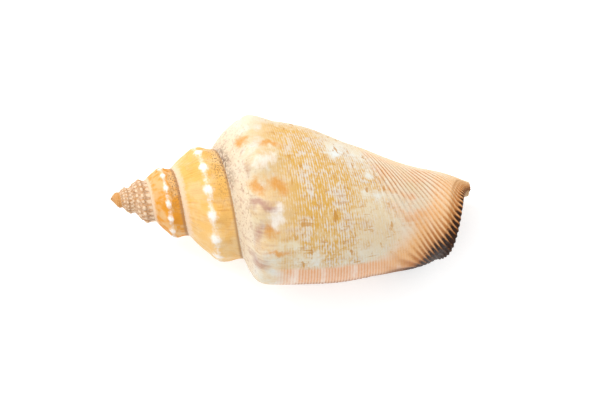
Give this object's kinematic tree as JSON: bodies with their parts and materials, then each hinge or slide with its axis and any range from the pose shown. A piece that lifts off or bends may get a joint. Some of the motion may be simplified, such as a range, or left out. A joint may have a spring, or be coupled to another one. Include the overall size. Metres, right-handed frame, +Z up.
{
  "type": "conch shell",
  "caption": "Small humped conch shell with a knobbed shoulder, a stepped pointed spire and a long narrow mouth, lying mouth down.",
  "frame": {"origin": "middle of the bounding box, on the surface the shell rests on", "axes": "+X from the spire's tip to the canal, +Y away from the outer lip, +Z up from the mouth to the back"},
  "size_m": [0.0546, 0.0256, 0.0212],
  "materials": {
    "shell": "hard satin shell, cream and ochre on the back, amber spire, peach lip, brown-black mouth edge"
  },
  "bodies": {
    "root": {"shell": "shell"}
  },
  "joints": []
}
